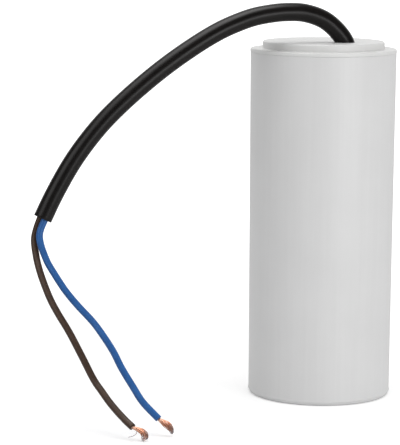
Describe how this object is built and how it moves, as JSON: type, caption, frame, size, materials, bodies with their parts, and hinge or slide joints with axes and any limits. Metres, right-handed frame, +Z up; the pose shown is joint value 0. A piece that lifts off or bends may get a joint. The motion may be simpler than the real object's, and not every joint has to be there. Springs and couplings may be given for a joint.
{
  "type": "motor run capacitor",
  "caption": "Motor run capacitor: a round plastic can with a stepped lid, from which a sheathed cable arches down to two stripped leads.",
  "frame": {"origin": "middle of the can's foot, in the plane of the surface that it stands on", "axes": "+Z up along the can's axis; the cable leaves the lid towards -X and comes forward towards -Y"},
  "size_m": [0.12, 0.1057, 0.1362],
  "materials": {
    "can_plastic": "smooth moulded plastic, satin",
    "lid_plastic": "smooth moulded plastic, satin",
    "resin": "cast resin",
    "metallised_film": "wound metallised film, satin",
    "mandrel_plastic": "extruded plastic tube",
    "wrap_tape": "clear yellow tape",
    "sprayed_zinc": "rough sprayed metal",
    "solder": "bright solder",
    "tinned_copper": "tinned strands",
    "sheath_pvc": "black sheath, soft sheen",
    "blue_pvc": "blue insulation, soft sheen",
    "brown_pvc": "brown insulation, soft sheen",
    "bare_copper": "bare copper strands"
  },
  "bodies": {
    "root": {"can": "can_plastic", "lid": "lid_plastic", "potting_resin": "resin", "film_winding": "metallised_film", "winding_mandrel": "mandrel_plastic", "winding_wrap": "wrap_tape", "upper_end_spray": "sprayed_zinc", "lower_end_spray": "sprayed_zinc", "upper_solder_joint": "solder", "lower_solder_joint": "solder", "blue_tinned_end": "tinned_copper", "brown_tinned_end": "tinned_copper", "cable_sheath": "sheath_pvc", "blue_core": "blue_pvc", "brown_core": "brown_pvc", "blue_strands": "bare_copper", "brown_strands": "bare_copper"}
  },
  "joints": []
}
